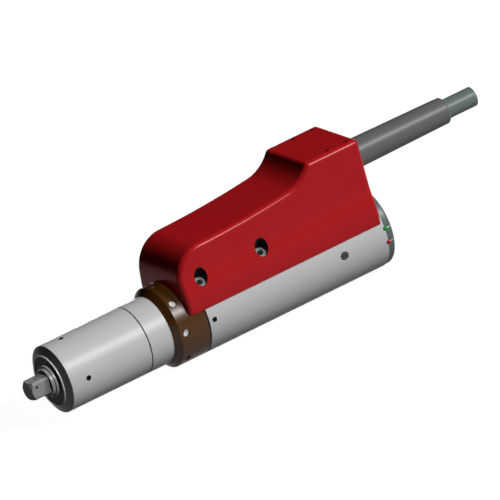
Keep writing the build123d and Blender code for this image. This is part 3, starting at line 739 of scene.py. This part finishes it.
def nose_piece():
    """The nose barrel with its radial holes, closed by dark screws as painted shade, and the dark line where
    it meets the land, which is painted shade in the groove.
    """
    bore = bearing_radius + SLIP
    front_bore = retainer_radius + SLIP
    shoulder = planet_flange_radius + SIDE_GAP
    seat = low("output_rear_bearing", 0) + OUTPUT_BEARING_WIDTH
    counterbore = spigot_radius + SLIP
    spigot_front = low("gearcase", 0)
    groove_front = land_front - PARTING_WIDTH
    groove_bottom = barrel_radius - PARTING_DEPTH
    body = turned("nose_barrel", rounded([
        (nose_tip, front_bore, 0.1), (nose_tip, retainer_radius + NOSE_TIP_RIM, 0.2),
        (nose_front, barrel_radius, 0.5), (groove_front, barrel_radius, 0.15),
        (groove_front, groove_bottom, 0), (land_front, groove_bottom, 0), (land_front, counterbore),
        (spigot_front, counterbore),
        (spigot_front, shoulder), (seat, shoulder), (seat, bore), (retainer_rear, bore),
        (retainer_rear, front_bore),
    ]), around=192)
    station = nose_front + NOSE_HOLE_SETBACK
    holes = []
    for angle in NOSE_HOLE_ANGLES:
        holes.append(bore_cutter(station, angle, bore - 1, barrel_radius, SHADED_HOLE_RADIUS + SLIP, EDGE_BREAK))
    finish_piece(combine(body, holes), "nose_housing")
    # A dark ring in the groove where the nose meets the land: painted shade
    line_top = barrel_radius - PARTING_RECESS
    line = turned("parting_line_shade", [
        (groove_front, groove_bottom - 0.1), (groove_front, line_top), (land_front, line_top),
        (land_front, groove_bottom - 0.1),
    ], around=192)
    finish_piece(line, "nose_housing", "dark_steel")
    # Dark screws in the nose's holes: painted shade
    for number, angle in enumerate(NOSE_HOLE_ANGLES):
        painted_shade_screw("nose_shade_screw_" + str(number + 1), station, angle, barrel_radius, "nose_housing")


nose_piece()

# Gearcase
JOINT_FLANGE_LENGTH = 8.0
TRANSDUCER_FLANGE_LENGTH = 3.0


def gearcase_piece():
    """The gearcase: a spigot in the nose, the land in view, the collar's thread and a spigot in the tube."""
    bore = high("ring_gear", 2) + SLIP
    spigot_front = low("gearcase", 0)
    tube_fit = tube_bore - SLIP
    inner_end = tube_front + JOINT_FLANGE_LENGTH
    flange_seat = high("torque_transducer", 0) - TRANSDUCER_FLANGE_LENGTH
    outline = [
        (spigot_front, bore), (spigot_front, spigot_radius), (land_front, spigot_radius, 0),
        (land_front, barrel_radius, 0.2), (collar_front, barrel_radius, 0), (collar_front, thread_radius, 0),
        (tube_front, thread_radius, 0), (tube_front, tube_fit), (inner_end, tube_fit),
        (inner_end, thread_radius), (flange_seat, thread_radius), (flange_seat, bore),
    ]
    return finish_piece(turned("gearcase_land", rounded(outline), around=192), "gearcase")


gearcase_piece()


# Mounting collar
GROOVE_WIDTH = 1.1
GROOVE_DEPTH = 1.2
GROOVE_RECESS = 0.2
COLLAR_CHAMFER = 4.2
COLLAR_HOLE_COUNT = 8
COLLAR_HOLE_SETBACK = 9.0
COLLAR_HOLE_DEPTH = 2.0
COLLAR_HOLE_RADIUS = 2.6


def collar_piece():
    """The collar with its ring of blind holes, their bright bottoms, and the dark seam behind it: a dark
    ring in the groove as painted shade.
    """
    bore = thread_radius + SLIP
    groove_front = tube_front - GROOVE_WIDTH
    groove_bottom = tube_radius - GROOVE_DEPTH
    body = turned("collar_ring", rounded([
        (collar_front, bore, 0.1), (collar_front, tube_radius - COLLAR_CHAMFER, 0.3),
        (collar_front + COLLAR_CHAMFER, tube_radius, 0.5), (groove_front, tube_radius, 0.3),
        (groove_front, groove_bottom, 0), (tube_front, groove_bottom, 0), (tube_front, bore),
    ]), around=192)
    station = collar_front + COLLAR_HOLE_SETBACK
    bottom = tube_radius - COLLAR_HOLE_DEPTH
    angles = [360 / COLLAR_HOLE_COUNT * index for index in range(COLLAR_HOLE_COUNT)]
    holes = []
    for angle in angles:
        holes.append(bore_cutter(station, angle, bottom, tube_radius, COLLAR_HOLE_RADIUS, EDGE_BREAK))
    finish_piece(combine(body, holes), "mounting_collar")
    disc_radius = COLLAR_HOLE_RADIUS - 0.05
    disc_outline = [
        (bottom - 0.3, 0), (bottom - 0.3, disc_radius), (bottom + 0.05, disc_radius), (bottom + 0.05, 0.4),
        (bottom - 0.15, 0),
    ]
    for number, angle in enumerate(angles):
        disc = turned("collar_hole_bottom_" + str(number + 1), disc_outline, radial(station, angle), 32)
        finish_piece(disc, "mounting_collar", "bright_cut")
    # A dark ring in the groove behind the collar: painted shade
    seam_top = tube_radius - GROOVE_RECESS
    seam = turned("collar_seam_shade", [
        (groove_front, groove_bottom - 0.1), (groove_front, seam_top), (tube_front, seam_top),
        (tube_front, groove_bottom - 0.1),
    ], around=192)
    finish_piece(seam, "mounting_collar", "dark_steel")


collar_piece()

# Screws and lamps, which pass through the tube's wall
SCREW_STATIONS = [(x, angle) for x in (31.5, 82.4) for angle in (49.0, 131.0)]
SCREW_SEAT = tube_radius + 2.4
SCREW_RADIUS = 2.5
SCREW_HEAD_RADIUS = 4.25
SCREW_HEAD_LENGTH = 5.0
SOCKET_WIDTH = 4.0
SOCKET_DEPTH = 2.5
COUNTERBORE_RADIUS = 5.15
LAMP_ANGLES = {"green_lamp": 170, "red_lamp": 190}
LAMP_RADIUS = 1.5
LAMP_STEM_LENGTH = 6.2
LAMP_SLOT_WIDTH = 0.9

# Motor tube with its plug
TUBE_HOLE_SETBACK = 4.4
PLUG_SETBACK = 113.9
PLUG_RADIUS = 3.1
PLUG_SINK = 0.3
PLUG_OVERHANG = 1.0
PLUG_SLOT_WIDTH = 1.2
PLUG_SLOT_DEPTH = 1.0


def tube_piece():
    """The motor tube with the holes for its dark screw, which is painted shade in its hole, and for its
    plug, cover screws and lamps.
    """
    body = turned("motor_tube_shell", rounded([
        (tube_front, tube_bore, 0.2), (tube_front, tube_radius, 0.35), (tube_rear, tube_radius, 0.3),
        (tube_rear, tube_bore, 0.2),
    ]), around=192)
    shaded_hole_station = tube_front + TUBE_HOLE_SETBACK
    openings = [
        (shaded_hole_station, 180, SHADED_HOLE_RADIUS + SLIP, EDGE_BREAK),
        (tube_front + PLUG_SETBACK, 180, PLUG_RADIUS + SLIP, 0.3),
    ]
    openings += [(x, angle, SCREW_RADIUS + SLIP, 0.0) for x, angle in SCREW_STATIONS]
    openings += [(tube_rear, angle, LAMP_RADIUS + SLIP, 0.15) for angle in LAMP_ANGLES.values()]
    holes = []
    for x, angle, radius, edge in openings:
        holes.append(bore_cutter(x, angle, tube_bore - 1, tube_radius, radius, edge))
    finish_piece(combine(body, holes), "motor_tube")
    # A dark screw in the tube's hole: painted shade
    painted_shade_screw("tube_shade_screw", shaded_hole_station, 180, tube_radius, "motor_tube")


def plug_piece():
    """The screwed plug in the tube's side, with its slot."""
    end = tube_radius - PLUG_SINK
    start = tube_bore - PLUG_OVERHANG
    where = radial(tube_front + PLUG_SETBACK, 180)
    plug = turned("slotted_plug", rounded([
        (start, 0), (start, PLUG_RADIUS), (end, PLUG_RADIUS, 0.35), (end, 0),
    ]), where, 64)
    # A bar turned in four steps is square, and its sides are the square root of 2 times its radius
    slot_size = Matrix.Diagonal((1, 5.0, PLUG_SLOT_WIDTH / math.sqrt(2), 1))
    slot = turned("cutter", rod_outline(end - PLUG_SLOT_DEPTH, end + 1, 1), where @ slot_size, 4)
    return finish_piece(combine(plug, [slot]), "tube_plug")


tube_piece()
plug_piece()

# Rear cap with its two lamps
CAP_SHRINK = 0.4
CAP_SPIGOT_WALL = 3.0
CAP_RIM_RADIUS = 2.2
cap_radius = tube_radius - CAP_SHRINK


def bar(name, height, length, width, edge=0.0):
    """A bar with its height along X and its length along Y, and with rounded edges if asked."""
    shape = bmesh.new()
    bmesh.ops.create_cube(shape, size=1.0)
    middle = Vector(((height[0] + height[1]) / 2, (length[0] + length[1]) / 2, 0)) * MM
    size = Matrix.Diagonal(((height[1] - height[0]) * MM, (length[1] - length[0]) * MM, width * MM, 1))
    bmesh.ops.transform(shape, matrix=Matrix.Translation(middle) @ size, verts=shape.verts)
    if edge:
        edges = list(shape.edges)
        bmesh.ops.bevel(shape, geom=edges, offset=edge * MM, segments=2, profile=0.5, affect="EDGES")
    return from_bmesh(name, shape)


def cap_piece():
    """The rear cap with a slot and a bright strip behind each lamp."""
    front = low("rear_cap", 0)
    rear = high("rear_cap", 0)
    spigot = tube_bore - SLIP
    inside = spigot - CAP_SPIGOT_WALL
    body = turned("end_cap", rounded([
        (front, inside), (front, spigot), (tube_rear, spigot, 0), (tube_rear, cap_radius, 0.3),
        (rear, cap_radius, CAP_RIM_RADIUS), (rear, 0), (tube_rear, 0), (tube_rear, inside, 0),
    ]), around=192)
    depth = rear - tube_rear
    cutters = []
    for angle in LAMP_ANGLES.values():
        cutters.append(bore_cutter(tube_rear, angle, inside - 1, cap_radius, LAMP_RADIUS + SLIP, 0.15))
        slot = bar("cutter", (spigot, tube_radius), (-0.5, depth + 0.5), LAMP_SLOT_WIDTH)
        slot.data.transform(radial(tube_rear, angle))
        cutters.append(slot)
    finish_piece(combine(body, cutters), "rear_cap")
    for lamp_node, angle in LAMP_ANGLES.items():
        height = (cap_radius - 1.5, cap_radius - 0.35)
        width = LAMP_SLOT_WIDTH - 2 * SLIP
        strip = bar("slot_strip_" + lamp_node, height, (1.7, depth - 1.6), width, 0.1)
        strip.data.transform(radial(tube_rear, angle))
        finish_piece(strip, "rear_cap", "bright_cut")


def lamp_piece(node, angle):
    """A lamp with a domed lens and the flange at the root of its dome."""
    end = cap_radius
    turns = [math.radians(degrees) for degrees in range(0, 90, 10)]
    dome = [(end + 1.5 * math.sin(turn), 1.6 * math.cos(turn)) for turn in turns]
    stem = [(end - LAMP_STEM_LENGTH, 0), (end - LAMP_STEM_LENGTH, 1.3), (end - 1.0, 1.3)]
    flange = [(end - 1.0, LAMP_RADIUS), (end - 0.2, LAMP_RADIUS)]
    outline = stem + flange + dome + [(end + 1.5, 0)]
    return finish_piece(turned(node + "_lens", outline, radial(tube_rear, angle), 48), node)


cap_piece()
for lamp_node, lamp_angle in LAMP_ANGLES.items():
    lamp_piece(lamp_node, lamp_angle)


# Cover
COVER_BOTTOM = 9.8
COVER_HALF_WIDTH = 27.5
COVER_WALL = 3.4
COVER_EDGE = 3.9
COVER_REAR_EDGE = 3.0
COVER_BOTTOM_EDGE = 1.1
NOSE_RADIUS = 23.4
SHOULDER_HEIGHT = 55.2
PLATEAU_HEIGHT = high("cover", 2)
RISE_ANGLE = 0.9
RISE_RADIUS = 709.0
RAMP_SETBACK = 98.7
PLATEAU_SETBACK = 121.2
RAMP_RATIO = 0.15
FLARE_TOP = 40.0
FLARE_RADIUS = 45.0
FLARE_ANGLE = 14.15
FLARE_STEP = 1.3
SCREW_BOSS_RADIUS = 7.5
TOP_HOLE_SPACING_X = 15.9
TOP_HOLE_SPACING_Y = 43.4
TOP_HOLE_SETBACK = 5.9
TOP_HOLE_RADIUS = 1.65
TOP_HOLE_DEPTH = 8.0
TOP_BOSS_RADIUS = 4.25
# The bore of the dark liners in the tapped holes and how far they sit below the top: painted shade
SHADE_LINER_BORE_RADIUS = 1.40
SHADE_LINER_RECESS = 0.3


def add_arc(points, heading, radius, turn, steps):
    """Extends an outline by an arc, to the left for a positive turn, and gives the new heading."""
    x, z = points[-1]
    side = math.copysign(1.0, turn)
    centre_x = x - side * radius * math.sin(heading)
    centre_z = z + side * radius * math.cos(heading)
    for step in range(1, steps + 1):
        now = heading + turn * step / steps
        points.append((centre_x + side * radius * math.sin(now), centre_z - side * radius * math.cos(now)))
    return heading + turn


def cover_outline():
    """The side outline of the cover, from the bottom of its front over the top to the bottom of its rear."""
    front = low("cover", 0)
    points = [(front, COVER_BOTTOM), (front, SHOULDER_HEIGHT - NOSE_RADIUS)]
    heading = add_arc(points, math.radians(90), NOSE_RADIUS, math.radians(RISE_ANGLE - 90), 24)
    ramp_x = front + RAMP_SETBACK
    climb = math.asin(math.sin(heading) + (ramp_x - points[-1][0]) / RISE_RADIUS)
    heading = add_arc(points, heading, RISE_RADIUS, climb - heading, 16)
    run = front + PLATEAU_SETBACK - points[-1][0]
    rise = PLATEAU_HEIGHT - points[-1][1]
    reach = ((math.cos(heading) + RAMP_RATIO) * run + math.sin(heading) * rise) / math.hypot(run, rise)
    middle = math.atan2(rise, run) + math.acos(reach / (1 + RAMP_RATIO))
    radius = run / ((1 + RAMP_RATIO) * math.sin(middle) - math.sin(heading))
    heading = add_arc(points, heading, radius, middle - heading, 16)
    add_arc(points, heading, radius * RAMP_RATIO, -heading, 16)
    points.append((shell_rear, PLATEAU_HEIGHT))
    points.append((shell_rear, COVER_BOTTOM))
    return points


def inset(outline, distance):
    """A closed outline moved inwards by a distance."""
    points = [Vector(point) for point in outline]
    moved = []
    for index, point in enumerate(points):
        into = (point - points[index - 1]).normalized()
        out = (points[(index + 1) % len(points)] - point).normalized()
        first = Vector((into.y, -into.x))
        second = Vector((out.y, -out.x))
        moved.append(tuple(point + (first + second) * distance / (1 + first.dot(second))))
    return moved


def side_flare(z):
    """How much wider the cover is at a height than its flat upper side: an arc out and an arc back in."""
    tilt = math.radians(FLARE_ANGLE)
    turn_z = FLARE_TOP - FLARE_RADIUS * math.sin(tilt)
    widest_z = FLARE_TOP - 2 * FLARE_RADIUS * math.sin(tilt)
    if z >= FLARE_TOP:
        return 0.0
    if z >= turn_z:
        return FLARE_RADIUS - math.sqrt(FLARE_RADIUS ** 2 - (FLARE_TOP - z) ** 2)
    widest = 2 * FLARE_RADIUS * (1 - math.cos(tilt))
    return widest - FLARE_RADIUS + math.sqrt(FLARE_RADIUS ** 2 - (z - widest_z) ** 2)


def bevel_edges(shape, chosen, radius, segments):
    """Rounds the edges of a bmesh that a test chooses."""
    edges = [edge for edge in shape.edges if chosen(edge)]
    bmesh.ops.bevel(shape, geom=edges, offset=radius * MM, segments=segments, profile=0.5, affect="EDGES",
                    clamp_overlap=False)


def cover_block():
    """The outside of the cover: rounded edges and sides that flare out over the motor tube."""
    block = prism("cover_shell", cover_outline(), COVER_HALF_WIDTH)
    shape = bmesh.new()
    shape.from_mesh(block.data)
    near = 1e-6

    def on_side(edge):
        """Whether an edge borders a flat side, other than at the rear or the bottom."""
        ends = [vertex.co for vertex in edge.verts]
        level = abs(ends[0].y - ends[1].y) < near and abs(abs(ends[0].y) - COVER_HALF_WIDTH * MM) < near
        rear = all(abs(end.x - shell_rear * MM) < near for end in ends)
        bottom = all(abs(end.z - COVER_BOTTOM * MM) < near for end in ends)
        return level and not rear and not bottom

    def on_rear(edge):
        """Whether an edge borders the rear face, other than at the bottom."""
        ends = [vertex.co for vertex in edge.verts]
        rear = all(abs(end.x - shell_rear * MM) < near for end in ends)
        bottom = all(abs(end.z - COVER_BOTTOM * MM) < near for end in ends)
        return rear and not bottom

    def along_bottom(edge):
        """Whether an edge runs along the bottom of a side."""
        ends = [vertex.co for vertex in edge.verts]
        bottom = all(abs(end.z - COVER_BOTTOM * MM) < near for end in ends)
        return bottom and abs(ends[0].y - ends[1].y) < near

    bevel_edges(shape, on_side, COVER_EDGE, 8)
    bevel_edges(shape, on_rear, COVER_REAR_EDGE, 6)
    bevel_edges(shape, along_bottom, COVER_BOTTOM_EDGE, 3)
    level = COVER_BOTTOM + FLARE_STEP
    while level < FLARE_TOP + FLARE_STEP:
        everything = list(shape.verts) + list(shape.edges) + list(shape.faces)
        cut_at = (0, 0, level * MM)
        bmesh.ops.bisect_plane(shape, geom=everything, plane_co=cut_at, plane_no=(0, 0, 1), dist=1e-7)
        level += FLARE_STEP
    for vertex in shape.verts:
        vertex.co.y *= 1 + side_flare(vertex.co.z / MM) / COVER_HALF_WIDTH
    shape.to_mesh(block.data)
    shape.free()
    return block


def plateau_rods(radius, depth, edge=0.0):
    """Upright rods at the four tapped holes, flared at their top so that they can also cut."""
    rear_x = cover_rear - TOP_HOLE_SETBACK
    margin = 1.0
    outline = [(-depth, 0), (-depth, radius), (-edge, radius), (margin, radius + edge + margin), (margin, 0)]
    rods = []
    for x in (rear_x - TOP_HOLE_SPACING_X, rear_x):
        for y in (-TOP_HOLE_SPACING_Y / 2, TOP_HOLE_SPACING_Y / 2):
            top = Matrix.Translation((x * MM, y * MM, PLATEAU_HEIGHT * MM))
            rods.append(turned("cutter", outline, top @ Matrix.Rotation(-math.pi / 2, 4, "Y"), 40))
    return rods


def plateau_hole_shades():
    """Dark liners in the four tapped holes: painted shade that darkens the holes."""
    rods = plateau_rods(TOP_HOLE_RADIUS - RUNNING, TOP_HOLE_DEPTH - 0.1)
    bores = plateau_rods(SHADE_LINER_BORE_RADIUS, TOP_HOLE_DEPTH - 0.5)
    top = (PLATEAU_HEIGHT - SHADE_LINER_RECESS) * MM
    for rod, bore in zip(rods, bores):
        for vertex in rod.data.vertices:
            vertex.co.z = min(vertex.co.z, top)
        combine(rod, [bore])
    return rods


def counterbore_shade_sleeve(number, x, angle, block):
    """A thin dark sleeve in a counterbore, cut off where the cover's outside is: painted shade on the
    counterbore's wall.
    """
    radius = COUNTERBORE_RADIUS - SLIP
    bore = COUNTERBORE_RADIUS - 0.2
    far = SCREW_SEAT + 40
    outline = [(SCREW_SEAT, bore), (SCREW_SEAT, radius), (far, radius), (far, bore)]
    sleeve = turned("counterbore_shade_" + str(number), outline, radial(x, angle), 64)
    outside = bpy.data.objects.new("cutter", block.data.copy())
    scene.collection.objects.link(outside)
    return finish_piece(combine(sleeve, [outside], "INTERSECT"), "cover", "dark_steel")


def cover_piece():
    """The moulded shell with its screw bosses, counterbores, tapped holes and saddle."""
    block = cover_block()
    for number, (x, angle) in enumerate(SCREW_STATIONS):
        # Dark sleeves on the counterbores' walls: painted shade
        counterbore_shade_sleeve(number + 1, x, angle, block)
    cavity = prism("cutter", inset(cover_outline(), COVER_WALL), COVER_HALF_WIDTH - COVER_WALL)
    boss_outline = rod_outline(tube_radius - 5, tube_radius + 24, SCREW_BOSS_RADIUS)
    bosses = [turned("cutter", boss_outline, radial(x, angle), 48) for x, angle in SCREW_STATIONS]
    bosses += plateau_rods(TOP_BOSS_RADIUS, TOP_HOLE_DEPTH + COVER_WALL)
    combine(cavity, bosses)
    saddle = rod_outline(low("cover", 0) - 5, shell_rear + 5, tube_radius + SLIP)
    cutters = [cavity, turned("cutter", saddle)]
    inside = tube_radius - 1
    outside = SCREW_SEAT + 50
    shank = SCREW_RADIUS + SLIP
    for x, angle in SCREW_STATIONS:
        cutters.append(turned("cutter", [
            (inside, 0), (inside, shank), (SCREW_SEAT, shank), (SCREW_SEAT, COUNTERBORE_RADIUS),
            (outside, COUNTERBORE_RADIUS), (outside, 0),
        ], radial(x, angle), 64))
    cutters += plateau_rods(TOP_HOLE_RADIUS, TOP_HOLE_DEPTH, EDGE_BREAK)
    cable_hole = rod_outline(shell_rear - 10, shell_rear + 5, SLEEVE_RADIUS + SLIP)
    cutters.append(turned("cutter", cable_hole, raised(CABLE_HEIGHT), 64))
    finish_piece(combine(block, cutters), "cover", smooth_angle=28.0)
    # Dark liners in the tapped holes: painted shade
    for number, shade_liner in enumerate(plateau_hole_shades()):
        shade_liner.name = "plateau_hole_shade_" + str(number + 1)
        finish_piece(shade_liner, "cover", "dark_steel")


cover_piece()


# Cover screws
def cover_screw_piece(number, x, angle):
    """A socket-head screw with a rounded rim and a hexagon socket that ends in a drilled cone."""
    end = SCREW_SEAT + SCREW_HEAD_LENGTH
    where = radial(x, angle)
    screw = turned("cover_screw_" + str(number), rounded([
        (tube_bore, 0), (tube_bore, SCREW_RADIUS, 0.4), (SCREW_SEAT, SCREW_RADIUS, 0),
        (SCREW_SEAT, SCREW_HEAD_RADIUS), (end, SCREW_HEAD_RADIUS, 0.5), (end, 0),
    ]), where, 64)
    corner = SOCKET_WIDTH / 2 / math.cos(math.radians(30))
    socket = turned("cutter", [
        (end - SOCKET_DEPTH - 0.7, 0), (end - SOCKET_DEPTH, corner), (end - 0.25, corner),
        (end + 0.5, corner + 0.75), (end + 0.5, 0),
    ], where @ Matrix.Rotation(math.radians(12), 4, "X"), 6)
    finish_piece(combine(screw, [socket]), "cover_screws")
    # A dark disc deep in the socket: painted shade
    socket_shade_outline = rod_outline(end - SOCKET_DEPTH + 0.5, end - 1.0, 1.9)
    bottom = turned("socket_shade_" + str(number), socket_shade_outline, where, 32)
    finish_piece(bottom, "cover_screws", "dark_steel")


for number, (screw_x, screw_angle) in enumerate(SCREW_STATIONS):
    cover_screw_piece(number + 1, screw_x, screw_angle)
